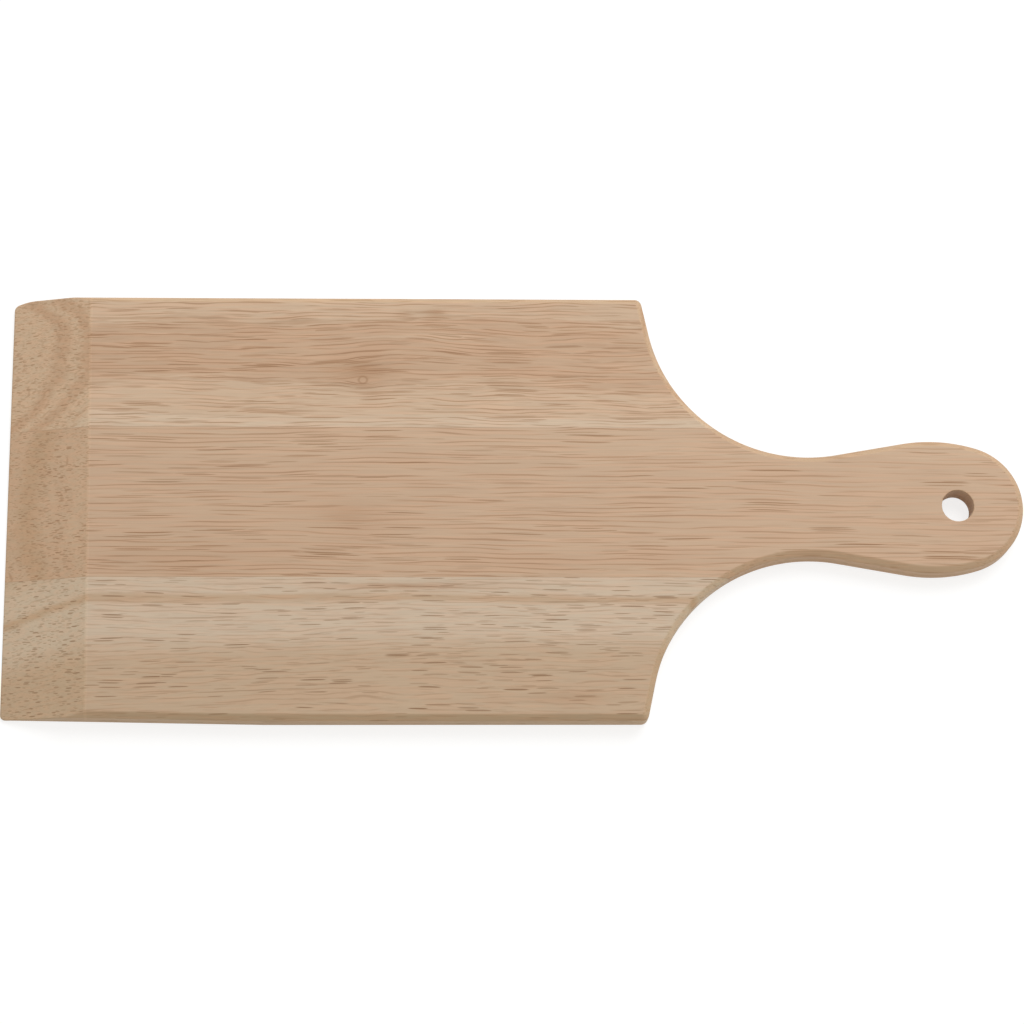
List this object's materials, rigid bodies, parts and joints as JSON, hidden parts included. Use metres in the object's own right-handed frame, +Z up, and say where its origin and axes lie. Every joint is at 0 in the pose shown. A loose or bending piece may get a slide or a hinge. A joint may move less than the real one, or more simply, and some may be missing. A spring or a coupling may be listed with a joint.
{
  "type": "spaetzle board",
  "caption": "Flat hardwood board glued from staves, with a thinned scraping edge for cutting dough into water, scooped shoulders and a knob handle with a hanging hole.",
  "frame": {"origin": "under the middle of the board's bounding box, on the surface that it lies on", "axes": "+X along the board from the scraping edge to the handle, +Y to the left, +Z up out of the working face"},
  "size_m": [0.35, 0.15, 0.01],
  "materials": {
    "left_wood": "sanded, unvarnished, pinkish tan with long dark pores",
    "middle_wood": "sanded, unvarnished, tan with long dark pores",
    "right_wood": "sanded, unvarnished, cream with short dark pores",
    "wood_glue": "cured adhesive film, matt"
  },
  "bodies": {
    "root": {"left_stave": "left_wood", "middle_stave": "middle_wood", "right_stave": "right_wood", "left_glue_line": "wood_glue", "right_glue_line": "wood_glue"}
  },
  "joints": []
}
